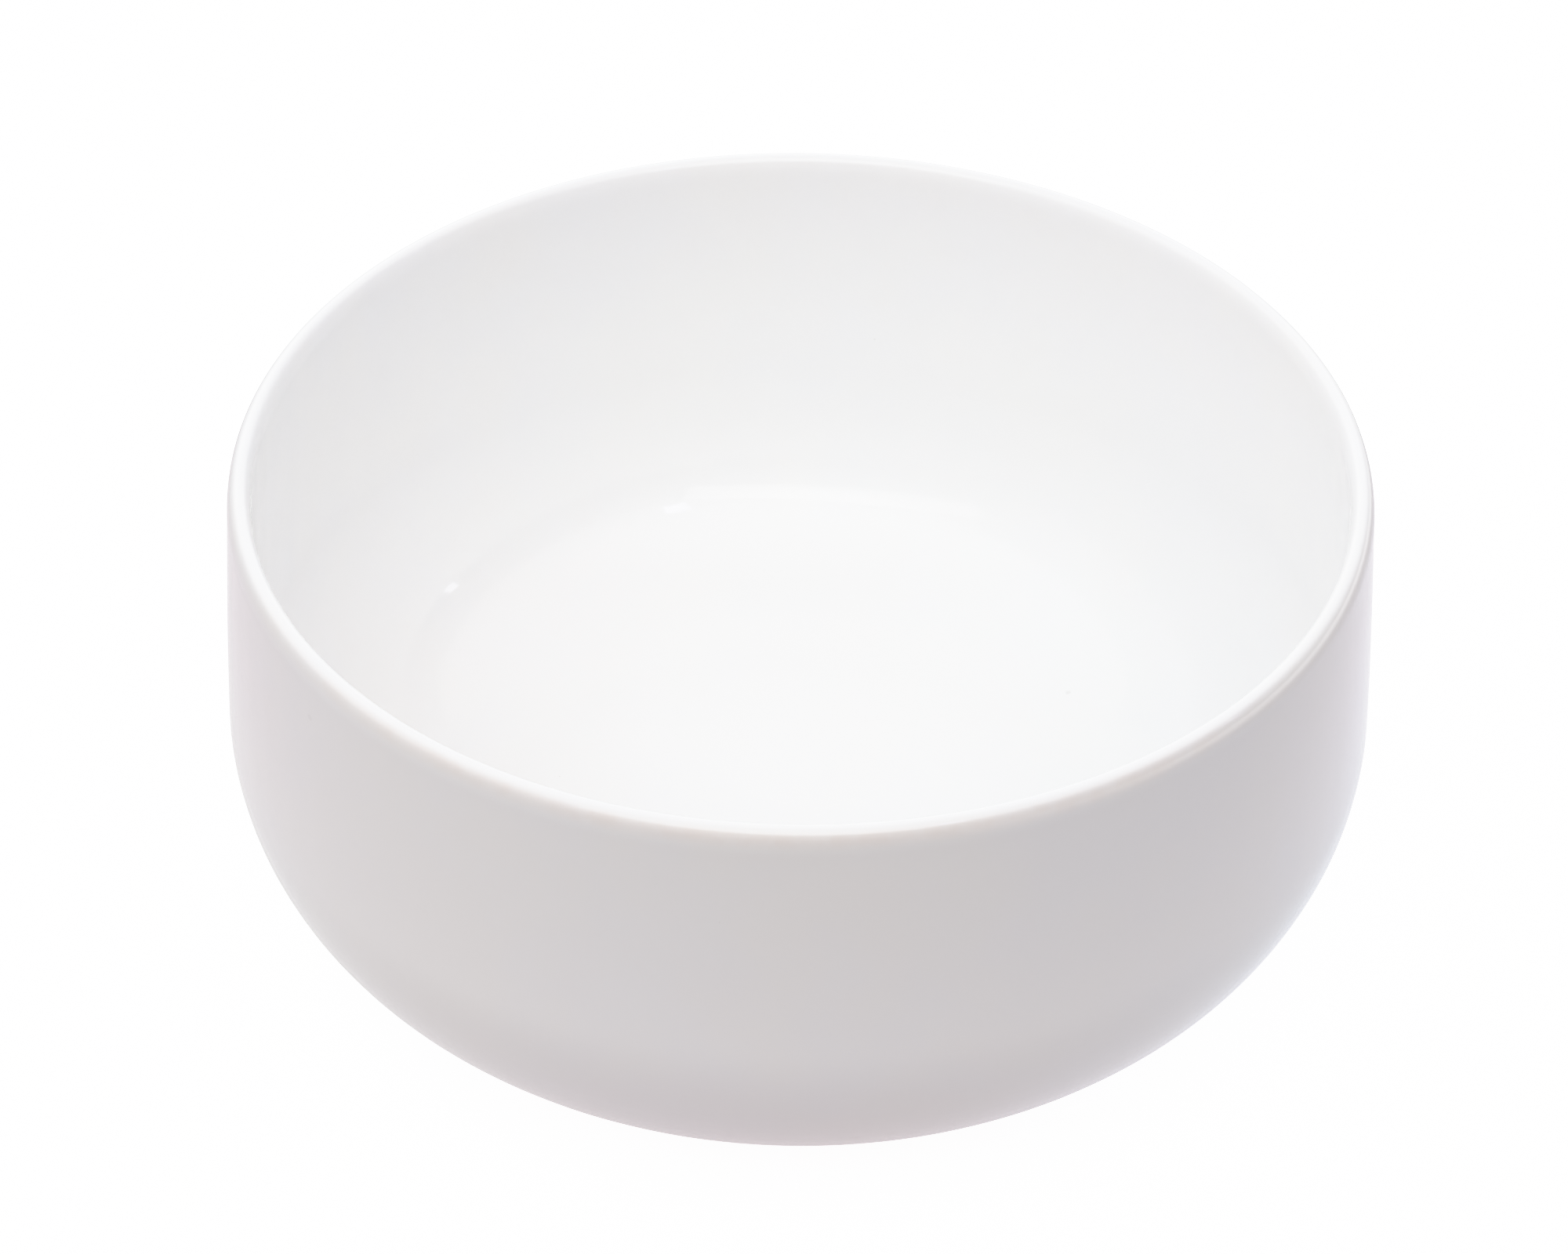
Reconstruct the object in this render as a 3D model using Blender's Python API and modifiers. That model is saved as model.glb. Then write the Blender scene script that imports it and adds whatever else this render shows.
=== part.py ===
"""Round porcelain evaporating dish, deep form, 150 mm across the lip.

Metres, +Z up. The origin is the centre of the foot ring, and z = 0 is the bench top.
The dish is one fired body under two separate areas of glaze:
  porcelain_body    the turned body, bare on the foot ring
  glaze_coat        one layer over the floor, the inner wall, the lip and the outer wall
  underside_glaze   the disc of glaze inside the foot ring
All three are solids of revolution about +Z. The free surface is one path of (radius, height)
points from the centre of the floor, over the lip and down to the foot. The inner face of the
coat and the body under it are offsets of that path.
"""

import math

import bmesh
import bpy

# Overall form
LIP_RADIUS = 0.0750  # outermost point of the lip
LIP_THICKNESS = 0.0031  # the lip is a full round of this thickness
WALL_SWELL = 0.0009  # the wall leans out by this much from the lip down to the belly
SWELL_POWER = 1.5  # how late the lean builds up towards the lip
BOWL_HEIGHT = 0.0688  # lowest point of the belly to the top of the lip
FOOT_HEIGHT = 0.0022  # lowest point of the belly above the bench

# Outer belly: a superellipse from the upright wall to the flat underside
BELLY_RISE = 0.0328
BELLY_REACH = 0.0320
BELLY_POWER = 1.92

# Inner surface
WALL_THICKNESS = 0.0035  # at the top of the belly
FLOOR_THICKNESS = 0.0042  # above the lowest point of the belly
INNER_REACH = 0.0300
INNER_POWER = 2.0  # a plain ellipse
FLOOR_DISH = 0.0003  # the floor is this much lower at its centre than at its edge

# Foot ring
FOOT_RADIUS = 0.0435
FOOT_WIDTH = 0.0036
FOOT_FILLET = 0.0012  # where the belly meets the foot ring
FOOT_CHAMFER = 0.0004
GLAZE_LINE = 0.0008  # the coat stops this far above the bench

# Glaze
GLAZE = 0.00025
FUSE_GAP = 0.00002  # keeps the glaze and the body apart as separate solids
COAT_DEPTH = GLAZE + FUSE_GAP  # from the free surface to the body

# Recess inside the foot ring, and the glaze in it
UNDERSIDE_Z = 0.0020  # lowest face of the underside glaze
RECESS_LEAN = 0.35  # inward run of the side, as a share of the recess above the foot chamfer
RECESS_CHAMFER = 0.0005
RECESS_MARGIN = 0.0010  # between the side of the recess and the rim of the glaze
RIM_BEVEL_WIDTH = 0.0004
RIM_BEVEL_HEIGHT = GLAZE * 0.6

# Segments along each part of the path, and around the axis
FLOOR_STEPS = 3
INNER_STEPS = 7
WALL_STEPS = 3
LIP_STEPS = 6
BELLY_STEPS = 8
FILLET_STEPS = 2
SEGMENTS = 60

BODY_COLOUR = (0.83, 0.81, 0.775, 1.0)
GLAZE_COLOUR = (0.87, 0.865, 0.85, 1.0)

# Places that follow from the sizes
BELLY_TOP = FOOT_HEIGHT + BELLY_RISE
BELLY_RADIUS = LIP_RADIUS + WALL_SWELL
FLOOR_Z = FOOT_HEIGHT + FLOOR_THICKNESS
LIP_ROUND = LIP_THICKNESS / 2
LIP_CENTRE_R = LIP_RADIUS - LIP_ROUND
LIP_CENTRE_Z = FOOT_HEIGHT + BOWL_HEIGHT - LIP_ROUND
WALL_HEIGHT = LIP_CENTRE_Z - BELLY_TOP
FOOT_INNER = FOOT_RADIUS - FOOT_WIDTH
RECESS_Z = UNDERSIDE_Z + COAT_DEPTH
RECESS_RADIUS = FOOT_INNER - (RECESS_Z - FOOT_CHAMFER) * RECESS_LEAN


# The free surface


def wall_point(share, inner):
    """A point on the upright wall; share runs from 0 at the belly to 1 at the lip."""
    radius = BELLY_RADIUS - WALL_SWELL * share**SWELL_POWER
    if inner:
        # The wall thins steadily from the belly to the lip.
        radius -= WALL_THICKNESS + (LIP_THICKNESS - WALL_THICKNESS) * share
    return radius, BELLY_TOP + WALL_HEIGHT * share


def bowl_point(radius, reach, rise, power, angle):
    """A point on a superellipse quarter: upright at angle 0, level at a right angle."""
    return (
        radius - reach * (1 - math.cos(angle) ** (2 / power)),
        BELLY_TOP - rise * math.sin(angle) ** (2 / power),
    )


def arc_point(centre_r, centre_z, radius, angle):
    """A point on a circle in the plane of the path."""
    return centre_r + radius * math.cos(angle), centre_z + radius * math.sin(angle)


def inner_path():
    """From the centre of the floor to just below the lip."""
    top_radius = BELLY_RADIUS - WALL_THICKNESS
    floor_radius = top_radius - INNER_REACH
    path = []
    for i in range(FLOOR_STEPS):
        share = i / FLOOR_STEPS
        path.append((floor_radius * share, FLOOR_Z - FLOOR_DISH * (1 - share**2)))
    for i in range(INNER_STEPS + 1):
        angle = math.radians(90) * (1 - i / INNER_STEPS)
        path.append(
            bowl_point(top_radius, INNER_REACH, BELLY_TOP - FLOOR_Z, INNER_POWER, angle)
        )
    for i in range(1, WALL_STEPS):
        path.append(wall_point(i / WALL_STEPS, inner=True))
    return path


def lip_path():
    """The full round of the lip, from its inner side to its outer side."""
    return [
        arc_point(LIP_CENTRE_R, LIP_CENTRE_Z, LIP_ROUND, math.pi * (1 - i / LIP_STEPS))
        for i in range(LIP_STEPS + 1)
    ]


def outer_path():
    """From just below the lip to the glaze line on the foot ring."""
    path = [wall_point(i / WALL_STEPS, inner=False) for i in range(WALL_STEPS - 1, 0, -1)]

    # The belly stops at the angle where it reaches the radius of the fillet's centre.
    fillet_r = FOOT_RADIUS + FOOT_FILLET
    end_share = 1 - (BELLY_RADIUS - fillet_r) / BELLY_REACH
    end_angle = math.acos(end_share ** (BELLY_POWER / 2))
    for i in range(BELLY_STEPS + 1):
        angle = end_angle * i / BELLY_STEPS
        path.append(bowl_point(BELLY_RADIUS, BELLY_REACH, BELLY_RISE, BELLY_POWER, angle))

    for i in range(1, FILLET_STEPS + 1):
        angle = math.radians(90 + 90 * i / FILLET_STEPS)
        path.append(arc_point(fillet_r, FOOT_HEIGHT - FOOT_FILLET, FOOT_FILLET, angle))
    path.append((FOOT_RADIUS, GLAZE_LINE))
    return path


def sunk(path, depth):
    """The path moved into the material by depth, mitred so the layer keeps its thickness."""
    normals = []
    for (r0, z0), (r1, z1) in zip(path, path[1:]):
        length = math.hypot(r1 - r0, z1 - z0)
        normals.append((-(z1 - z0) / length, (r1 - r0) / length))
    # Each end has one neighbouring edge, so its normal counts twice.
    befores = normals[:1] + normals
    afters = normals + normals[-1:]
    moved = []
    for (r, z), before, after in zip(path, befores, afters):
        mitre = 1 + before[0] * after[0] + before[1] * after[1]
        moved.append(
            (
                r - depth * (before[0] + after[0]) / mitre,
                z - depth * (before[1] + after[1]) / mitre,
            )
        )
    # The first point stays on the axis and the last keeps its height.
    moved[0] = (0.0, moved[0][1])
    moved[-1] = (moved[-1][0], path[-1][1])
    return moved


# Materials


def finish(name, colour, roughness, coat):
    """A non-metallic material; coat is the weight of the clear gloss layer."""
    material = bpy.data.materials.new(name)
    material.use_nodes = True
    material.diffuse_color = colour
    settings = {
        "Base Color": colour,
        "Roughness": roughness,
        "Metallic": 0.0,
        "IOR": 1.5,
        "Coat Weight": coat,
        "Coat Roughness": 0.04,
    }
    shader = material.node_tree.nodes["Principled BSDF"]
    for socket, value in settings.items():
        shader.inputs[socket].default_value = value
    return material


def fired_porcelain():
    return finish("fired_porcelain", BODY_COLOUR, roughness=0.62, coat=0.0)


def clear_gloss_glaze():
    return finish("clear_gloss_glaze", GLAZE_COLOUR, roughness=0.08, coat=1.0)


def underside_gloss_glaze():
    return finish("underside_gloss_glaze", GLAZE_COLOUR, roughness=0.10, coat=1.0)


# Pieces


def turned(name, path, material, frame, collection, base=0.0):
    """A solid of revolution about +Z, with its origin at height base on the axis."""
    mesh = bpy.data.meshes.new(name)
    profile = bmesh.new()
    points = [profile.verts.new((r, 0.0, z - base)) for r, z in path]
    for start, end in zip(points, points[1:]):
        profile.edges.new((start, end))
    profile.to_mesh(mesh)
    profile.free()
    mesh.materials.append(material)

    part = bpy.data.objects.new(name, mesh)
    collection.objects.link(part)
    part.parent = frame
    part.location = (0.0, 0.0, base)

    screw = part.modifiers.new("turn", "SCREW")
    screw.axis = "Z"
    screw.angle = math.radians(360)
    screw.steps = SEGMENTS
    screw.render_steps = SEGMENTS
    screw.use_merge_vertices = True
    screw.merge_threshold = 0.00001
    screw.use_smooth_shade = True


def porcelain_body(surface, frame, collection):
    """The surface under the coat, then the bare foot ring and the recess inside it."""
    ground = sunk(surface, COAT_DEPTH)
    foot_outer = ground[-1][0]
    path = ground[:-1] + [
        (foot_outer, FOOT_CHAMFER),
        (foot_outer - FOOT_CHAMFER, 0.0),
        (FOOT_INNER + FOOT_CHAMFER, 0.0),
        (FOOT_INNER, FOOT_CHAMFER),
        (RECESS_RADIUS, RECESS_Z - RECESS_CHAMFER),
        (RECESS_RADIUS - RECESS_CHAMFER, RECESS_Z),
        (0.0, RECESS_Z),
    ]
    turned("porcelain_body", path, fired_porcelain(), frame, collection)


def glaze_coat(surface, frame, collection):
    """The free surface, and back along the face next to the body."""
    path = surface + sunk(surface, GLAZE)[::-1]
    turned("glaze_coat", path, clear_gloss_glaze(), frame, collection)


def underside_glaze(frame, collection):
    """A thin disc, bevelled below its rim, short of the foot ring."""
    radius = RECESS_RADIUS - RECESS_MARGIN
    path = [
        (0.0, UNDERSIDE_Z + GLAZE),
        (radius, UNDERSIDE_Z + GLAZE),
        (radius, UNDERSIDE_Z + RIM_BEVEL_HEIGHT),
        (radius - RIM_BEVEL_WIDTH, UNDERSIDE_Z),
        (0.0, UNDERSIDE_Z),
    ]
    material = underside_gloss_glaze()
    turned("underside_glaze", path, material, frame, collection, base=UNDERSIDE_Z)


def main():
    for obj in list(bpy.data.objects):
        bpy.data.objects.remove(obj, do_unlink=True)
    collection = bpy.data.collections.new("evaporating_dish")
    bpy.context.scene.collection.children.link(collection)
    frame = bpy.data.objects.new("dish_frame", None)
    collection.objects.link(frame)

    surface = inner_path() + lip_path() + outer_path()
    porcelain_body(surface, frame, collection)
    glaze_coat(surface, frame, collection)
    underside_glaze(frame, collection)


main()
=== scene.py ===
"""Evaporating dish: a round porcelain bowl on a foot ring, glazed inside, outside and underneath.

Its axis is the Z axis, the foot stands on z = 0 and the lip is on top. The camera looks from the
front, which is -Y, so +X is to the right. Profiles are rows of (radius, height).
"""

import math

import bpy
import numpy as np
from mathutils import Matrix, Vector


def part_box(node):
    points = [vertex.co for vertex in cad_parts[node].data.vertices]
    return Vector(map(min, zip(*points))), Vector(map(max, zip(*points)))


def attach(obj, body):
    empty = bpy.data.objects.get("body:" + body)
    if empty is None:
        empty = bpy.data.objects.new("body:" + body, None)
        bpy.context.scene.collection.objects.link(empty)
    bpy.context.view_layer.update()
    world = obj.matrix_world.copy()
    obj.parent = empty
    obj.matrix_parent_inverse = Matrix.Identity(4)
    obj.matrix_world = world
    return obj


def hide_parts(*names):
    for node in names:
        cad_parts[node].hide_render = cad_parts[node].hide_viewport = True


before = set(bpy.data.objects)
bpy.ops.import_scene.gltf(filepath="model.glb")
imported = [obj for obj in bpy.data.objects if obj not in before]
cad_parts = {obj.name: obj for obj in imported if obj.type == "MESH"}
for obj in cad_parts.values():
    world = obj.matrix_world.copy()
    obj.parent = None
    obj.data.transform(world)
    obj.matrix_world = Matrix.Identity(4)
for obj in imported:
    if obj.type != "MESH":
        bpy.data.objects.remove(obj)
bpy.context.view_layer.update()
MM = 0.001

# ---------------------------------------------------------------- sizes
coat_low, coat_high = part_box("glaze_coat")
body_low, body_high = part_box("porcelain_body")
under_low, under_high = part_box("underside_glaze")

LIP_TOP = coat_high.z
BELLY_RADIUS = (coat_high.x - coat_low.x) / 2
WALL_SWELL = 0.9 * MM  # how far the wall draws in from the belly to the lip
LIP_RADIUS = BELLY_RADIUS - WALL_SWELL
LIP_THICKNESS = 3.1 * MM
LIP_MIDDLE_RADIUS = LIP_RADIUS - LIP_THICKNESS / 2
LIP_MIDDLE_Z = LIP_TOP - LIP_THICKNESS / 2
INNER_FLANK, OUTER_FLANK = 2.8 * MM, 3.8 * MM  # heights over which the lip runs into the wall
LIP_LEAN = 0.2 * MM  # its highest point lies this far inside the middle of the lip
LIP_SQUARENESS = 0.85  # 1 is an ellipse, less has a fuller corner

BOWL_HEIGHT = 68.8 * MM
FOOT_HEIGHT = LIP_TOP - BOWL_HEIGHT
BELLY_RISE, BELLY_REACH, BELLY_POWER = 32.8 * MM, 32.0 * MM, 1.92
BELLY_TOP = FOOT_HEIGHT + BELLY_RISE
WALL_THICKNESS, FLOOR_THICKNESS = 3.5 * MM, 4.2 * MM
FLOOR_Z = FOOT_HEIGHT + FLOOR_THICKNESS
INNER_REACH, FLOOR_DISH = 30.0 * MM, 0.3 * MM

FOOT_RADIUS, FOOT_WIDTH, FOOT_FILLET = 43.5 * MM, 3.6 * MM, 1.2 * MM
GLAZE = 0.25 * MM
FUSE_GAP = 0.02 * MM  # between the coat and the body beneath it
GLAZE_LINE = coat_low.z
RECESS_DEPTH = under_low.z
UNDER_TOP = under_high.z
UNDER_RADIUS = under_high.x

SEGMENTS, UNDER_SEGMENTS = 320, 240
FLOOR_STEPS, BELLY_STEPS, WALL_STEPS, LIP_STEPS = 60, 160, 80, 24


# ---------------------------------------------------------------- the free surface as one profile
def profile(r, z):
    """Rows of (radius, height). Either may be a single number."""
    return np.stack(np.broadcast_arrays(r, z), -1)


def wall_share(z):
    """0 at the top of the belly, 1 at the middle of the lip."""
    return (z - BELLY_TOP) / (LIP_MIDDLE_Z - BELLY_TOP)


def wall_radius(z):
    return BELLY_RADIUS - WALL_SWELL * np.maximum(wall_share(z), 0) ** 1.5


def inner_radius(z):
    thickness = WALL_THICKNESS + (LIP_THICKNESS - WALL_THICKNESS) * wall_share(z)
    return wall_radius(z) - thickness


def bowl_curve(radius, reach, rise, power, angle):
    """A superellipse that hangs from the top of the belly, drawing in by reach over rise."""
    across, down = np.clip(np.cos(angle), 0, 1), np.sin(angle)
    return profile(
        radius - reach * (1 - across ** (2 / power)), BELLY_TOP - rise * down ** (2 / power)
    )


def inner_path():
    top_radius = BELLY_RADIUS - WALL_THICKNESS
    floor_edge = top_radius - INNER_REACH
    r = np.linspace(0, floor_edge, FLOOR_STEPS)[:-1]
    bowl_floor = profile(r, FLOOR_Z - FLOOR_DISH * (1 - (r / floor_edge) ** 2))
    belly = bowl_curve(
        radius=top_radius,
        reach=INNER_REACH,
        rise=BELLY_TOP - FLOOR_Z,
        power=2.0,
        angle=np.linspace(math.pi / 2, 0, BELLY_STEPS),
    )
    z = np.linspace(BELLY_TOP, LIP_TOP - INNER_FLANK, WALL_STEPS)[1:-1]
    return np.concatenate([bowl_floor, belly, profile(inner_radius(z), z)])


def lip_path():
    """The round of the lip: a quarter of a superellipse on each side of its crown."""
    crown = LIP_MIDDLE_RADIUS - LIP_LEAN
    quarter = np.linspace(0, math.pi / 2, LIP_STEPS)
    across, up = np.cos(quarter) ** LIP_SQUARENESS, np.sin(quarter) ** LIP_SQUARENESS
    low_in, low_out = LIP_TOP - INNER_FLANK, LIP_TOP - OUTER_FLANK
    reach_in = crown - inner_radius(low_in)
    reach_out = wall_radius(low_out) - crown
    rise = profile(crown - reach_in * across, low_in + INNER_FLANK * up)
    fall = profile(crown + reach_out * across, low_out + OUTER_FLANK * up)
    return np.concatenate([rise, fall[::-1][1:]])


def outer_path():
    z = np.linspace(LIP_TOP - OUTER_FLANK, BELLY_TOP, WALL_STEPS)[1:-1]
    fillet_radius = FOOT_RADIUS + FOOT_FILLET
    level = 1 - (BELLY_RADIUS - fillet_radius) / BELLY_REACH
    belly = bowl_curve(
        radius=BELLY_RADIUS,
        reach=BELLY_REACH,
        rise=BELLY_RISE,
        power=BELLY_POWER,
        angle=np.linspace(0, math.acos(level ** (BELLY_POWER / 2)), BELLY_STEPS),
    )
    turn = np.radians(np.linspace(90, 180, 12)[1:])
    fillet = profile(
        fillet_radius + FOOT_FILLET * np.cos(turn),
        FOOT_HEIGHT - FOOT_FILLET + FOOT_FILLET * np.sin(turn),
    )
    return np.concatenate([profile(wall_radius(z), z), belly, fillet])


def resampled(path, pitch):
    """The path with its points about pitch(r, z) apart."""
    step = np.linalg.norm(np.diff(path, axis=0), axis=1)
    along = np.concatenate([[0], np.cumsum(step)])
    fine = np.linspace(0, along[-1], 8000)
    r = np.interp(fine, along, path[:, 0])
    z = np.interp(fine, along, path[:, 1])
    density = np.array([1 / pitch(*place) for place in zip(r, z)])
    count = np.concatenate([[0], np.cumsum((density[1:] + density[:-1]) / 2 * np.diff(fine))])
    whole = max(2, int(round(count[-1])))
    at = np.interp(np.linspace(0, count[-1], whole + 1), count, fine)
    return profile(np.interp(at, fine, r), np.interp(at, fine, z))


def normals(path):
    """Unit normals on the free side of the path."""
    tangent = np.gradient(path, axis=0)
    tangent /= np.linalg.norm(tangent, axis=1, keepdims=True)
    return np.stack([-tangent[:, 1], tangent[:, 0]], -1)


def sunk(path, depth):
    """The path moved into the material by depth, still starting on the axis."""
    out = path - normals(path) * depth
    out[0, 0] = 0.0
    return out


def fine_pitch(r, z):
    """Closest on the lip, close at the foot fillet, wide elsewhere."""
    if z > LIP_TOP - 2.6 * MM:
        return 0.135 * MM
    if z > LIP_TOP - 4.0 * MM:
        return 0.5 * MM
    if z < FOOT_HEIGHT + 0.3 * MM and FOOT_RADIUS - 1 * MM < r < FOOT_RADIUS + 2 * MM:
        return 0.25 * MM
    return 1.4 * MM


def coarse_pitch(r, z):
    """For the hidden faces between coat and body."""
    return 0.3 * MM if z > LIP_TOP - 3.2 * MM else 3.2 * MM


surface = resampled(np.concatenate([inner_path(), lip_path(), outer_path()]), fine_pitch)
coarse = resampled(surface, coarse_pitch)

# ---------------------------------------------------------------- the small unevenness of a real dish
WAVE_COUNT = 36
WAVE_LENGTHS = (5.0, 16.0)  # mm
COAT_RIPPLE, UNDER_RIPPLE = 0.0042 * MM, 0.005 * MM

# (amount in mm, times round the dish, angle of the crest)
OUT_OF_ROUND = ((0.10, 2, 0.7), (0.05, 3, -0.4), (0.02, 5, 1.9))
LIP_LIFT = ((0.06, 2, 1.9), (0.03, 3, 0.2))
LIP_DROP = 0.07  # mm, all round

# (amount, times round the dish, phase); the amounts of the two glaze edges are in mm
GLAZE_LINE_WANDER = ((0.07, 3, 0.5), (0.06, 7, 2.0), (0.04, 13, 1.2), (0.03, 29, 4.0))
UNDER_RIM_WANDER = ((0.10, 4, 1), (0.08, 9, 0.4), (0.05, 21, 3))
FOOT_WANDER = ((0.5, 11, 0.3), (0.5, 23, 1.7))

rng = np.random.RandomState(41)
WAVES = []
for _ in range(WAVE_COUNT):
    length = rng.uniform(*WAVE_LENGTHS) * MM
    direction = rng.normal(size=3)
    direction /= np.linalg.norm(direction)
    WAVES.append((direction * 2 * math.pi / length, rng.uniform(0, 2 * math.pi), length))


def ripple(points):
    """Slow swells of the glaze surface, about 1 high."""
    total = np.zeros(len(points))
    for wave, phase, length in WAVES:
        total += np.cos(points @ wave + phase) * (length / (10 * MM)) ** 1.5
    return total / math.sqrt(len(WAVES) / 2)


def angle_of(points):
    return np.arctan2(points[:, 1], points[:, 0])


def radius_of(points):
    return np.hypot(points[:, 0], points[:, 1])


def crests(angle, terms):
    return sum(amount * np.cos(count * (angle - crest)) for amount, count, crest in terms)


def wander(angle, terms):
    return sum(amount * np.sin(count * angle + phase) for amount, count, phase in terms)


def push_out(points, angle, distance):
    """Move the points away from the axis, in place."""
    points[:, 0] += distance * np.cos(angle)
    points[:, 1] += distance * np.sin(angle)


def settle(points):
    """How the whole wall moved in the kiln: out of round and not quite level at the lip."""
    angle = angle_of(points)
    up = np.clip((points[:, 2] - FOOT_HEIGHT) / BOWL_HEIGHT, 0, 1)
    out = points.copy()
    push_out(out, angle, up**1.6 * crests(angle, OUT_OF_ROUND) * MM)
    out[:, 2] += up**2 * (crests(angle, LIP_LIFT) - LIP_DROP) * MM
    return out


# ---------------------------------------------------------------- meshes
def spun(pairs, segments):
    """(outward, up) pairs turned round the axis into one ring of (x, y, z) each."""
    angle = np.arange(segments) * 2 * math.pi / segments
    outward, up = pairs[:, 0][:, None], pairs[:, 1][:, None]
    rings = [outward * np.cos(angle), outward * np.sin(angle), np.repeat(up, segments, 1)]
    return np.stack(rings, -1).reshape(-1, 3)


def lathe(name, path, detail, segments=SEGMENTS):
    """A closed solid of revolution whose path starts and ends on the axis.

    detail(points, facing) returns the points moved; facing holds their normals.
    """
    count = len(path) - 2
    facing = spun(normals(path)[1:-1], segments)
    points = settle(detail(spun(path[1:-1], segments), facing))
    first = [[0, 0, points[:segments, 2].mean()]]
    last = [[0, 0, points[-segments:, 2].mean()]]
    vertices = np.concatenate([points, first, last])

    here = np.arange(segments)
    beside = (here + 1) % segments
    faces = []
    for i in range(count - 1):
        low, high = i * segments, (i + 1) * segments
        band = [high + here, high + beside, low + beside, low + here]
        faces.extend(np.stack(band, -1).tolist())
    start, end = len(points), len(points) + 1
    last_ring = (count - 1) * segments
    sides = list(zip(here.tolist(), beside.tolist()))
    faces.extend([start, i, j] for i, j in sides)
    faces.extend([end, last_ring + j, last_ring + i] for i, j in sides)

    mesh = bpy.data.meshes.new(name)
    mesh.from_pydata(vertices.tolist(), [], faces)
    mesh.validate()
    mesh.update()
    mesh.shade_smooth()
    piece = bpy.data.objects.new(name, mesh)
    bpy.context.scene.collection.objects.link(piece)
    return piece


def make_coat():
    """The free surface, a rolled edge at the glaze line, and back along the fused face."""
    roll = np.radians(np.linspace(0, 90, 8)[1:])
    edge = profile(
        FOOT_RADIUS - GLAZE * 0.9 * (1 - np.cos(roll)),
        GLAZE_LINE + 0.18 * MM * (1 - np.sin(roll)),
    )
    exposed = np.concatenate([surface, edge])
    free_points = (len(exposed) - 1) * SEGMENTS

    def detail(points, facing):
        """Ripple on the free side, and a glaze line that wanders up and down the foot."""
        out = points.copy()
        free = np.arange(len(points)) < free_points
        out[free] += facing[free] * ripple(points[free])[:, None] * COAT_RIPPLE
        near_line = np.clip((GLAZE_LINE + 0.55 * MM - points[:, 2]) / (0.5 * MM), 0, 1)
        near_line *= radius_of(points) < FOOT_RADIUS + 0.3 * MM
        rise = wander(angle_of(points), GLAZE_LINE_WANDER) + 0.02
        out[:, 2] += near_line * rise * MM * free
        return out

    path = np.concatenate([exposed, sunk(coarse, GLAZE)[::-1]])
    return lathe("glaze_coat_fine", path, detail)


def rounded(before, corner, after, size):
    """An arc-like corner between the lines to the points before and after it."""
    before, corner, after = map(np.asarray, (before, corner, after))
    enter = corner + (before - corner) / np.linalg.norm(before - corner) * size
    leave = corner + (after - corner) / np.linalg.norm(after - corner) * size
    t = np.linspace(0, 1, 7)[:, None]
    return (1 - t) ** 2 * enter + 2 * t * (1 - t) * corner + t**2 * leave


def make_body():
    """The fired body: under the coat it follows coarse rings, and its bare foot is finer."""
    foot_outer = FOOT_RADIUS - GLAZE - FUSE_GAP
    foot_inner = FOOT_RADIUS - FOOT_WIDTH
    recess = RECESS_DEPTH + GLAZE + FUSE_GAP
    top_of_bare = (foot_outer, GLAZE_LINE + 0.3 * MM)
    outer_corner, inner_corner = (foot_outer, 0.0), (foot_inner, 0.0)
    recess_corner, centre = (UNDER_RADIUS + 1.0 * MM, recess), (0.0, recess)
    bare = np.concatenate(
        [
            [top_of_bare],
            rounded(top_of_bare, outer_corner, inner_corner, size=0.45 * MM),
            rounded(outer_corner, inner_corner, recess_corner, size=0.45 * MM),
            rounded(inner_corner, recess_corner, centre, size=0.6 * MM),
            [(UNDER_RADIUS + 0.2 * MM, recess)],
        ]
    )

    def detail(points, facing):
        """The bare foot is not machined: its edges wander by hundredths of a millimetre."""
        z = points[:, 2]
        bare_here = (z < GLAZE_LINE - 0.1 * MM) & (z > 0.03 * MM)
        bare_here &= radius_of(points) > UNDER_RADIUS + 0.4 * MM
        angle = angle_of(points)
        uneven = wander(angle, FOOT_WANDER)
        uneven += 0.6 * np.sin(47 * angle + 0.9) * np.sin(5 * angle)
        return points - facing * (bare_here * (0.012 + 0.008 * uneven) * MM)[:, None]

    covered = sunk(coarse, GLAZE + FUSE_GAP)
    path = np.concatenate(
        [
            covered[covered[:, 1] > GLAZE_LINE + 0.35 * MM],
            resampled(bare, lambda r, z: 0.22 * MM),
            profile(np.linspace(UNDER_RADIUS, 0, 9), recess),
        ]
    )
    return lathe("porcelain_body_fine", path, detail)


def make_under():
    """Glaze inside the foot ring: a thin pool with a rounded rim."""
    rim = np.radians(np.linspace(0, 90, 8))
    rim_width = 0.5 * MM
    path = np.concatenate(
        [
            profile(np.linspace(0, UNDER_RADIUS - 1.0 * MM, 24), UNDER_TOP),
            [(UNDER_RADIUS - rim_width, UNDER_TOP), (UNDER_RADIUS - 0.1 * MM, UNDER_TOP)],
            profile(
                UNDER_RADIUS - rim_width + rim_width * np.cos(rim),
                RECESS_DEPTH + (UNDER_TOP - RECESS_DEPTH) * 0.85 * (1 - np.sin(rim)),
            ),
            profile(np.linspace(UNDER_RADIUS - 0.7 * MM, 0, 40), RECESS_DEPTH),
        ]
    )

    def detail(points, _facing):
        """Ripple on the lower face, and a rim that wanders in and out."""
        out = points.copy()
        free = points[:, 2] < RECESS_DEPTH + 0.05 * MM
        out[free, 2] += ripple(points[free]) * UNDER_RIPPLE
        angle = angle_of(points)
        rimward = np.clip((radius_of(points) - UNDER_RADIUS + 2 * MM) / (2 * MM), 0, 1)
        push_out(out, angle, rimward * (wander(angle, UNDER_RIM_WANDER) - 0.24) * MM)
        return out

    return lathe("underside_glaze_fine", path, detail, UNDER_SEGMENTS)


coat = make_coat()
body = make_body()
under = make_under()

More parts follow.
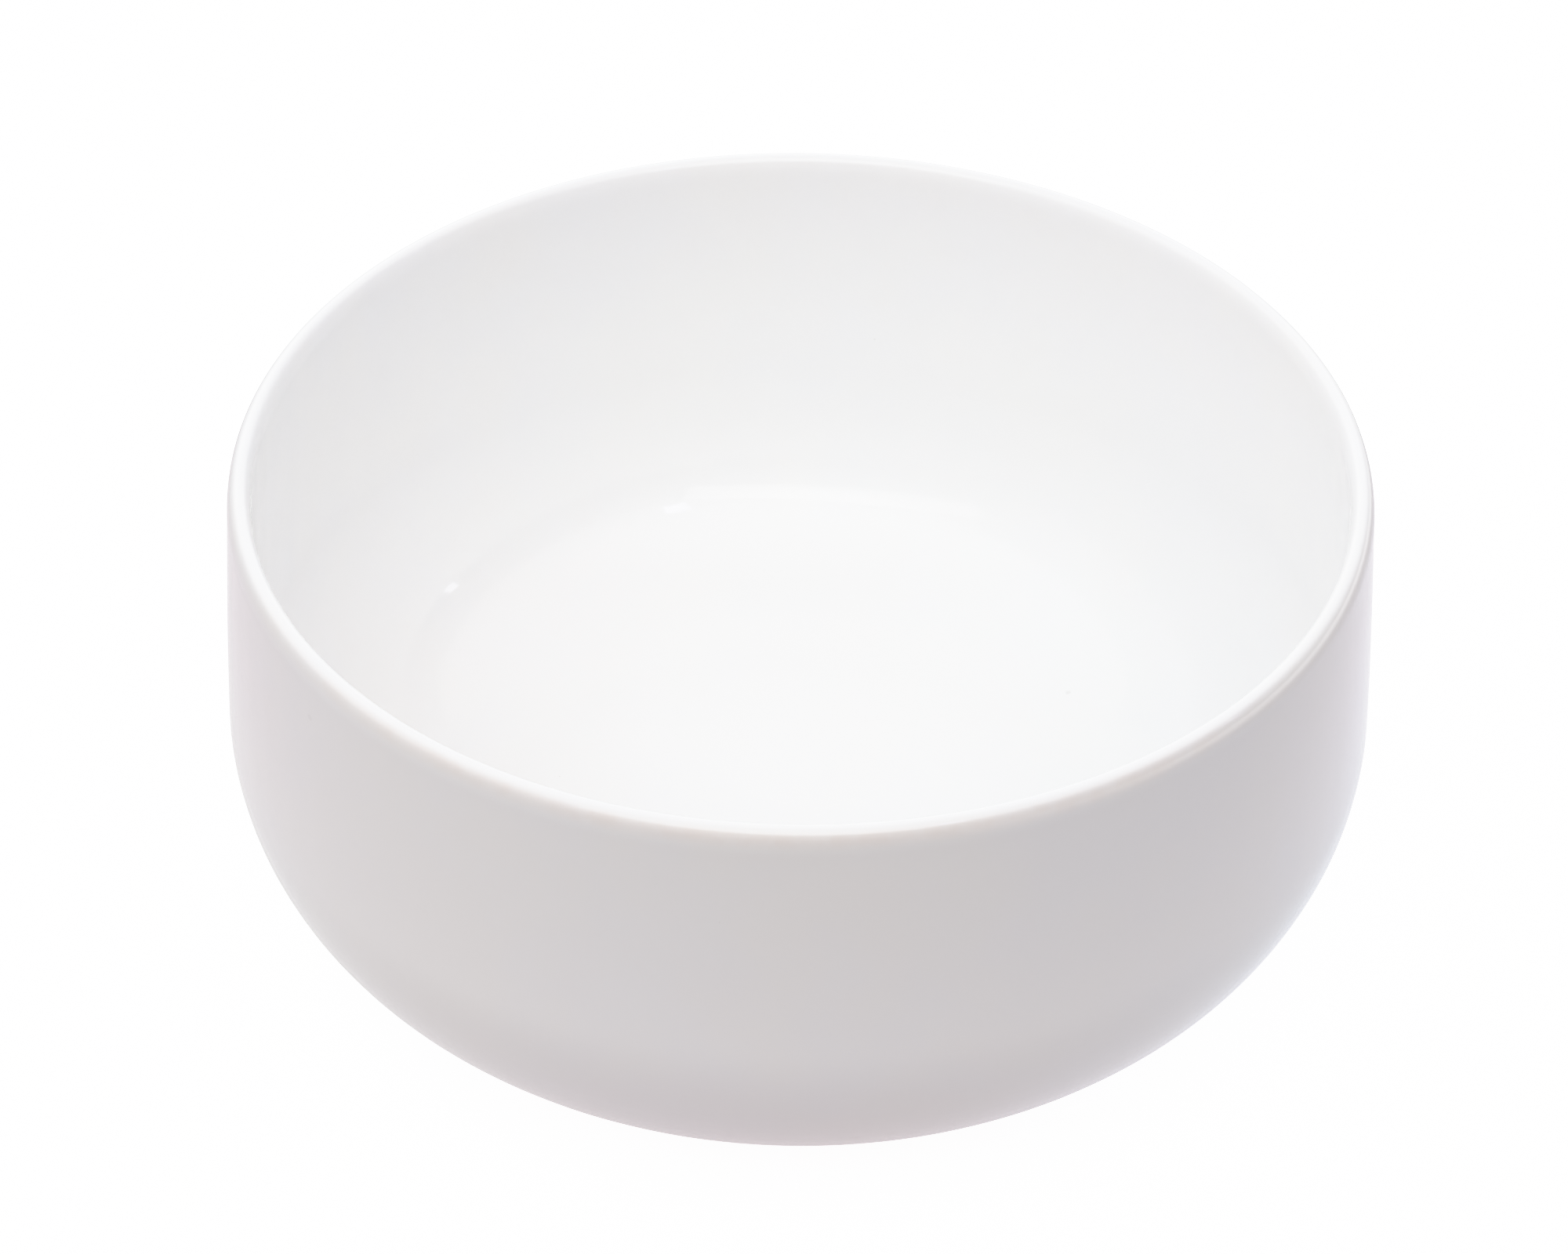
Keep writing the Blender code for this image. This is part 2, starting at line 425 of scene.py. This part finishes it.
for piece, node, slot in (
    (coat, "glaze_coat", "white_gloss_glaze"),
    (body, "porcelain_body", "fired_porcelain"),
    (under, "underside_glaze", "white_gloss_glaze"),
):
    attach(piece, "root")
    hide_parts(node)


# ---------------------------------------------------------------- materials
class Nodes:
    """Short hand for building the node tree of a material or world."""

    def __init__(self, owner, output="OutputMaterial"):
        owner.use_nodes = True
        self.tree = owner.node_tree
        self.tree.nodes.clear()
        self.output = self.add(output)

    def add(self, kind, **settings):
        node = self.tree.nodes.new("ShaderNode" + kind)
        for key, value in settings.items():
            setattr(node, key, value)
        return node

    def feed(self, socket, value):
        if isinstance(value, bpy.types.NodeSocket):
            self.tree.links.new(value, socket)
        else:
            socket.default_value = value

    def put(self, node, *values, **named):
        """Feed the first inputs in order, and others by name with _ for a space."""
        for i, value in enumerate(values):
            self.feed(node.inputs[i], value)
        for key, value in named.items():
            self.feed(node.inputs[key.replace("_", " ")], value)
        return node

    def finish(self, shader):
        self.put(self.output, shader.outputs[0])

    def math(self, operation, *values, clamp=False):
        return self.put(self.add("Math", operation=operation, use_clamp=clamp), *values).outputs[0]

    def times(self, a, b):
        return self.math("MULTIPLY", a, b)

    def vector(self, operation, *values, result="Vector", **named):
        node = self.add("VectorMath", operation=operation)
        return self.put(node, *values, **named).outputs[result]

    def split(self, vector):
        return self.put(self.add("SeparateXYZ"), vector).outputs

    def noise(self, where, scale, detail=2.0, roughness=0.5):
        node = self.add("TexNoise")
        self.put(node, Vector=where, Scale=scale, Detail=detail, Roughness=roughness)
        return node.outputs["Fac"]

    def cells(self, where, scale):
        """Distance to the nearest of many scattered points."""
        node = self.add("TexVoronoi", feature="F1")
        return self.put(node, Vector=where, Scale=scale, Randomness=1.0).outputs["Distance"]

    def ramp(self, value, low, high, start=0.0, end=1.0, kind="SMOOTHSTEP"):
        """Runs from start at low to end at high."""
        node = self.add("MapRange", interpolation_type=kind)
        return self.put(node, value, low, high, start, end).outputs[0]

    def mix(self, share, a, b):
        node = self.add("Mix", data_type="RGBA")
        for i, value in ((0, share), (6, a), (7, b)):
            self.feed(node.inputs[i], value)
        return node.outputs[2]

    def mix_shader(self, share, a, b):
        return self.put(self.add("MixShader"), share, a.outputs[0], b.outputs[0])

    def bump(self, height, distance):
        node = self.add("Bump")
        return self.put(node, Strength=1.0, Distance=distance, Height=height).outputs[0]

    def ray(self, kind):
        return self.add("LightPath").outputs[f"Is {kind} Ray"]


GLAZE_COOL, GLAZE_WARM = (0.919, 0.922, 0.924, 1), (0.929, 0.926, 0.912, 1)
# Warm colour of thin glaze on the lip, which also carries painted shade on the front of the lip.
THIN_GLAZE_AND_SHADE = (0.86, 0.80, 0.755, 1)
SPECK_COLOUR = (0.23, 0.19, 0.15, 1)
# Faint iron specks on the coat: place in mm, radius in mm, and how dark.
SPECKS = (
    ((37.5, 34.4, 7.6), 0.40, 0.16),
    ((-32.7, 16.0, 6.4), 0.17, 0.22),
    ((-62.0, -42.6, 62.9), 0.55, 0.05),
)
CLAY_PALE, CLAY_WARM = (0.80, 0.775, 0.735, 1), (0.755, 0.72, 0.665, 1)
CLAY_GRAIN = (0.55, 0.50, 0.44, 1)
CLAY_RUBBED = (0.46, 0.45, 0.44, 1)
CLAY_FLECK = (0.24, 0.20, 0.16, 1)


def speck_mask(n, where, centre, radius):
    """1 inside a small irregular spot, 0 elsewhere."""
    edge = n.noise(where, scale=2600.0, detail=3.0)
    gap = n.vector("DISTANCE", where, centre, result="Value")
    blurred = n.math("ADD", gap, n.times(edge, radius * 0.9))
    return n.ramp(blurred, low=radius, high=radius * 1.6, start=1.0, end=0.0)


def thin_glaze_and_shade_mask(n, where):
    """Where the glaze runs thin on the outer side of the lip. Painted shade on top makes the mark
    strongest at the front and weakest at the back.
    """
    x, y, z = n.split(where)
    flat = n.put(n.add("CombineXYZ"), x, y, 0.0).outputs[0]
    radius = n.vector("LENGTH", flat, result="Value")
    outward = LIP_MIDDLE_RADIUS + LIP_THICKNESS * 0.06
    thin = n.ramp(radius, low=outward, high=outward + LIP_THICKNESS * 0.30)
    thin = n.times(thin, n.ramp(z, low=LIP_TOP - 3.0 * MM, high=LIP_TOP - 1.2 * MM))
    broken = n.noise(where, scale=320.0, detail=3.0)
    thin = n.times(thin, n.ramp(broken, low=0.3, high=0.7, start=0.6, end=1.0))
    # Painted shade: the tint is strongest at the front of the lip and weakest at the back.
    side = n.ramp(y, low=-68.0 * MM, high=-20.0 * MM, start=0.64, end=0.22)
    return n.times(thin, side)


def glaze_material(name, specks):
    material = bpy.data.materials.new(name)
    n = Nodes(material)
    where = n.add("TexCoord").outputs["Object"]

    # Colour: milky white with slow drifts, warmer where the glaze is thin on the lip, and painted
    # shade that darkens the front of the lip.
    drift = n.noise(where, scale=26.0, detail=2.0)
    cloud = n.noise(where, scale=110.0, detail=3.0)
    tone = n.math("ADD", n.times(drift, 0.7), n.times(cloud, 0.3))
    colour = n.mix(n.ramp(tone, low=0.35, high=0.65), GLAZE_COOL, GLAZE_WARM)
    colour = n.mix(thin_glaze_and_shade_mask(n, where), colour, THIN_GLAZE_AND_SHADE)

    # Pinholes and iron specks.
    pinhole = n.ramp(n.cells(where, scale=95.0), low=0.008, high=0.018, start=1.0, end=0.0)
    dots = n.times(pinhole, 0.10)
    for centre, radius, darkness in specks:
        mark = speck_mask(n, where, [value * MM for value in centre], radius * MM)
        dots = n.math("MAXIMUM", dots, n.times(mark, darkness))
    colour = n.mix(dots, colour, SPECK_COLOUR)

    # Gloss: nearly a mirror, slightly broken by wiping marks and use.
    smear = n.noise(where, scale=60.0, detail=4.0, roughness=0.6)
    rough = n.ramp(smear, low=0.35, high=0.75, start=0.030, end=0.060)
    rough = n.math("ADD", rough, n.times(dots, 0.3), clamp=True)

    # Relief: orange peel in two sizes, and a small pit at each pinhole.
    broad = n.times(n.noise(where, scale=420.0, detail=1.0), 1.0)
    fine = n.times(n.noise(where, scale=1300.0, detail=1.0), 0.30)
    peel = n.math("SUBTRACT", n.math("ADD", broad, fine), n.times(pinhole, 2.0))
    normal = n.bump(peel, distance=0.0065 * MM)

    shader = n.add("BsdfPrincipled")
    n.put(shader, Base_Color=colour, Roughness=0.30, IOR=1.5, Normal=normal)
    n.put(shader, Specular_IOR_Level=0.12, Coat_Weight=1.0, Coat_Roughness=rough)
    n.put(shader, Coat_IOR=1.5, Coat_Normal=normal)
    n.finish(shader)
    return material


def body_material():
    material = bpy.data.materials.new("bare_fired_porcelain")
    n = Nodes(material)
    where = n.add("TexCoord").outputs["Object"]
    z = n.split(where)[2]
    grain = n.noise(where, scale=2400.0, detail=4.0, roughness=0.65)
    patch = n.noise(where, scale=150.0, detail=3.0)
    colour = n.mix(n.ramp(patch, low=0.3, high=0.7), CLAY_PALE, CLAY_WARM)
    colour = n.mix(n.ramp(grain, low=0.62, high=0.8, end=0.35), colour, CLAY_GRAIN)

    # The standing face has picked up grey in patches.
    bottom = n.ramp(z, low=0.02 * MM, high=0.12 * MM, start=1.0, end=0.0)
    wear = n.noise(where, scale=260.0, detail=5.0, roughness=0.7)
    rubbed = n.times(bottom, n.ramp(wear, low=0.48, high=0.66))
    colour = n.mix(n.times(rubbed, 0.55), colour, CLAY_RUBBED)

    fleck = n.ramp(n.cells(where, scale=420.0), low=0.03, high=0.06, start=0.6, end=0.0)
    colour = n.mix(fleck, colour, CLAY_FLECK)
    rough = n.ramp(rubbed, low=0.0, high=1.0, start=0.82, end=0.60)
    normal = n.bump(grain, distance=0.05 * MM)
    shader = n.add("BsdfPrincipled")
    n.put(shader, Base_Color=colour, Roughness=rough, IOR=1.5, Normal=normal)
    n.finish(shader)
    return material


coat.data.materials.append(glaze_material("white_gloss_glaze_fine", SPECKS))
under.data.materials.append(glaze_material("underside_gloss_glaze", ()))
body.data.materials.append(body_material())

# ---------------------------------------------------------------- floor
# What the white table throws on the dish is weaker than what the camera sees of it, so the
# background is nearly white and the dish keeps its tones.
FLOOR_RADIUS, FLOOR_SIDES = 9, 96
FLOOR_ALBEDO = (0.25, 0.25, 0.25, 1)
SEEN_ALBEDO, SEEN_GLOW = (0.90, 0.90, 0.90, 1), 0.85
FACING = {"front": (0, -1, 0), "right": (1, 0, 0), "back": (0, 1, 0), "left": (-1, 0, 0)}
# Glow by ring round the dish and by side, as linear RGB.
FLOOR_GLOW = {
    "near": {
        "front": (0.39, 0.34, 0.36),
        "right": (0.42, 0.44, 0.49),
        "back": (0.38, 0.37, 0.37),
        "left": (0.35, 0.34, 0.34),
    },
    "far": {
        "front": (0.02, 0.00, 0.00),
        "right": (0.00, 0.00, 0.00),
        "back": (0.00, 0.00, 0.00),
        "left": (0.20, 0.20, 0.19),
    },
}
# What the gloss of the glaze sees of the floor on top of that.
FLOOR_SHEEN = {
    "under": {
        "front": (0.20, 0.20, 0.20),
        "right": (0.30, 0.30, 0.30),
        "back": (0.30, 0.30, 0.30),
        "left": (0.30, 0.30, 0.30),
    },
    "beyond": {
        "right": (1.60, 1.60, 1.60),
        "back": (0.70, 0.70, 0.70),
    },
    "round": {
        "front": (0.08, 0.08, 0.08),
        "right": (0.35, 0.28, 0.30),
        "back": (0.35, 0.38, 0.38),
        "left": (0.25, 0.17, 0.21),
    },
}


def lobes(n, direction, sides):
    """How far a direction points to each side. All four sides add up to 1."""
    unit = n.vector("NORMALIZE", n.vector("MULTIPLY", direction, (1, 1, 0)))
    found = {}
    for side in sides:
        dot = n.vector("DOT_PRODUCT", unit, FACING[side], result="Value")
        lobe = n.math("MAXIMUM", dot, 0.0)
        found[side] = n.times(lobe, lobe)
    return found


def weighted(n, parts):
    """The sum of (share, colour) pairs."""
    total = None
    for share, colour in parts:
        part = n.vector("SCALE", colour, Scale=share)
        total = part if total is None else n.vector("ADD", total, part)
    return total


def ring_glow(n, spot, rings, table, gate=None):
    """The glow of a table of rings and sides, let through by the gate if there is one."""
    parts = []
    for ring, colours in table.items():
        for side, lobe in lobes(n, spot, colours).items():
            share = n.times(rings[ring], lobe)
            if gate is not None:
                share = n.times(share, gate)
            parts.append((share, colours[side]))
    return weighted(n, parts)


def floor_material():
    material = bpy.data.materials.new("white_floor")
    n = Nodes(material)
    spot = n.add("TexCoord").outputs["Object"]
    away = n.vector("LENGTH", spot, result="Value")

    near = n.ramp(away, low=0.08, high=0.24, start=1.0, end=0.0)
    rings = {"near": near, "far": n.math("SUBTRACT", 1.0, near)}
    glow = ring_glow(n, spot, rings, FLOOR_GLOW)

    beneath = n.ramp(away, low=0.075, high=0.13, start=1.0, end=0.0)
    beyond = n.ramp(away, low=0.18, high=0.40)
    between = n.math("SUBTRACT", n.math("SUBTRACT", 1.0, beneath), beyond)
    rings = {"under": beneath, "beyond": beyond, "round": between}
    sheen = ring_glow(n, spot, rings, FLOOR_SHEEN, gate=n.ray("Glossy"))

    thrown = n.add("BsdfPrincipled")
    n.put(thrown, Base_Color=FLOOR_ALBEDO, Roughness=0.9, Specular_IOR_Level=0.0)
    n.put(thrown, Emission_Color=n.vector("ADD", glow, sheen), Emission_Strength=1.0)
    seen = n.add("BsdfPrincipled")
    n.put(seen, Base_Color=SEEN_ALBEDO, Roughness=0.9, Specular_IOR_Level=0.0)
    n.put(seen, Emission_Color=(1, 1, 1, 1), Emission_Strength=SEEN_GLOW)
    either = n.mix_shader(n.ray("Camera"), thrown, seen)

    # From below, the camera looks through the floor, so that the underside can be seen.
    below = n.times(n.add("NewGeometry").outputs["Backfacing"], n.ray("Camera"))
    n.finish(n.mix_shader(below, either, n.add("BsdfTransparent")))
    return material


def make_floor():
    mesh = bpy.data.meshes.new("floor")
    angles = np.linspace(0, 2 * math.pi, FLOOR_SIDES + 1)[:-1]
    corners = [(FLOOR_RADIUS * math.cos(a), FLOOR_RADIUS * math.sin(a), 0) for a in angles]
    mesh.from_pydata(corners, [], [list(range(FLOOR_SIDES))])
    floor = bpy.data.objects.new("floor", mesh)
    floor.location.z = body_low.z - 0.02 * MM
    bpy.context.scene.collection.objects.link(floor)
    mesh.materials.append(floor_material())


make_floor()

# ---------------------------------------------------------------- lights
TARGET = Vector((0, 0, (LIP_TOP + body_low.z) / 2))
SOFTBOX_DISTANCE = 1.6


def area_light(name, shape, location, width, watts):
    """A light that faces straight down. watts holds its power in red, green and blue."""
    power = max(watts)
    light = bpy.data.lights.new(name, "AREA")
    light.shape = shape
    light.size = width
    light.energy = power
    light.color = [part / power for part in watts]
    lamp = bpy.data.objects.new(name, light)
    lamp.location = location
    lamp.visible_camera = False
    bpy.context.scene.collection.objects.link(lamp)
    return lamp


def softbox(name, azimuth, elevation, width, height, watts):
    """A soft light that faces the dish. Azimuth 0 is the front, 90 degrees is the right."""
    a, e = math.radians(azimuth), math.radians(elevation)
    back = Vector((math.sin(a) * math.cos(e), -math.cos(a) * math.cos(e), math.sin(e)))
    lamp = area_light(name, "RECTANGLE", TARGET + back * SOFTBOX_DISTANCE, width, watts)
    lamp.data.size_y = height
    lamp.rotation_mode = "QUATERNION"
    lamp.rotation_quaternion = (-back).to_track_quat("-Z", "Y")


area_light("top", "DISK", location=(0.16, -0.19, 1.14), width=2.34, watts=(9.0, 9.0, 9.0))
# name, azimuth, elevation, width, height, watts
for row in (
    ("strip", -8, 41.0, 1.7, 0.22, (1.6, 1.6, 1.6)),
    ("lamp_front_right", 31.6, 42.5, 0.12, 0.12, (0.16, 0.16, 0.24)),
    ("lamp_right", 88, 27, 0.08, 0.10, (0.10, 0.10, 0.12)),
):
    softbox(*row)

# ---------------------------------------------------------------- room
# One smooth glow: bands by elevation in degrees, each with a colour per side, fading to black
# straight above.
SKY = {
    0: {
        "front": (0.36, 0.24, 0.20),
        "right": (0.60, 0.60, 0.60),
        "back": (0.80, 0.80, 0.80),
        "left": (0.20, 0.20, 0.20),
    },
    25: {
        "front": (0.01, 0.00, 0.00),
        "right": (0.10, 0.14, 0.21),
        "back": (1.90, 1.95, 2.02),
        "left": (1.28, 1.14, 1.13),
    },
    50: {
        "front": (2.11, 2.16, 2.16),
        "right": (0.70, 0.52, 0.48),
        "back": (0.20, 0.26, 0.36),
        "left": (0.94, 1.07, 1.17),
    },
}
# What the gloss of the glaze sees of the room on top of that.
SKY_SHEEN = {(25, "front"): (0.70, 0.70, 0.70)}
SEEN_SKY = 1.6  # strength of the white the camera sees


def room_glow(n):
    """Colour of the room in the direction looked in."""
    direction = n.add("TexCoord").outputs["Generated"]
    level = n.math("ARCSINE", n.math("MAXIMUM", n.split(direction)[2], 0.0))
    sides = lobes(n, direction, FACING)
    bands = [math.radians(at) for at in (*SKY, 90)]
    parts = []
    for i, (at, colours) in enumerate(SKY.items()):
        band = n.ramp(level, bands[i], bands[i + 1], start=1.0, end=0.0, kind="LINEAR")
        if i > 0:
            rise = n.ramp(level, bands[i - 1], bands[i], kind="LINEAR")
            band = n.times(rise, band)
        for side, lobe in sides.items():
            share = n.times(band, lobe)
            parts.append((share, colours[side]))
            if (at, side) in SKY_SHEEN:
                parts.append((n.times(share, n.ray("Glossy")), SKY_SHEEN[at, side]))
    return weighted(n, parts)


def make_world():
    world = bpy.data.worlds.new("studio")
    bpy.context.scene.world = world
    n = Nodes(world, "OutputWorld")
    lit = n.put(n.add("Background"), Color=room_glow(n), Strength=1.0)
    seen = n.put(n.add("Background"), Color=(1, 1, 1, 1), Strength=SEEN_SKY)
    n.finish(n.mix_shader(n.ray("Camera"), lit, seen))


make_world()

# ---------------------------------------------------------------- render settings
# The bowl fills with light that bounces many times.
cycles = bpy.context.scene.cycles
cycles.max_bounces, cycles.diffuse_bounces, cycles.glossy_bounces = 20, 8, 16

# The camera's response: straight up to KNEE, then a soft shoulder into white.
KNEE, WHITE = 0.80, 2.5
SHOULDER_STEPS = (0.04, 0.09, 0.15, 0.22, 0.31, 0.42, 0.57, 0.80, 1.15)


def set_response():
    view = bpy.context.scene.view_settings
    view.view_transform = "Standard"
    view.look = "None"
    view.exposure = 0.0
    view.gamma = 1.0
    view.use_curve_mapping = True
    response = view.curve_mapping
    response.white_level = (WHITE, WHITE, WHITE)
    curve = response.curves[3]  # the combined curve
    curve.points[0].location = (0, 0)
    curve.points[-1].location = (1, 1)
    curve.points.new(KNEE / WHITE, KNEE)
    for step in SHOULDER_STEPS:
        level = KNEE + step
        shoulder = 1 - math.exp(-(level - KNEE) / (1 - KNEE))
        curve.points.new(level / WHITE, KNEE + (1 - KNEE) * shoulder)
    for point in curve.points:
        point.handle_type = "VECTOR"
    response.update()


set_response()

# ---------------------------------------------------------------- camera
CAMERA_ELEVATION, CAMERA_ROLL = 0.666994, 0.01221  # radians
CAMERA_DISTANCE = 14 * LIP_RADIUS
LOOK_AT = Vector((0, 0, FOOT_HEIGHT + 0.458686 * LIP_RADIUS))
SENSOR_WIDTH, FOCAL_LENGTH = 36.0, 180.6264  # mm
SHIFT_X, SHIFT_Y = -0.00944, 0.03272  # shares of the sensor width


def make_camera():
    data = bpy.data.cameras.new("camera")
    data.sensor_fit = "HORIZONTAL"
    data.sensor_width = SENSOR_WIDTH
    data.lens = FOCAL_LENGTH
    data.shift_x, data.shift_y = SHIFT_X, SHIFT_Y
    data.clip_start, data.clip_end = 0.05, 40
    camera = bpy.data.objects.new("camera", data)
    back = -CAMERA_DISTANCE * math.cos(CAMERA_ELEVATION)
    up = CAMERA_DISTANCE * math.sin(CAMERA_ELEVATION)
    camera.matrix_world = (
        Matrix.Translation(LOOK_AT + Vector((0, back, up)))
        @ Matrix.Rotation(math.pi / 2 - CAMERA_ELEVATION, 4, "X")
        @ Matrix.Rotation(CAMERA_ROLL, 4, "Z")
    )
    bpy.context.scene.collection.objects.link(camera)
    bpy.context.scene.camera = camera


make_camera()

bpy.context.view_layer.update()
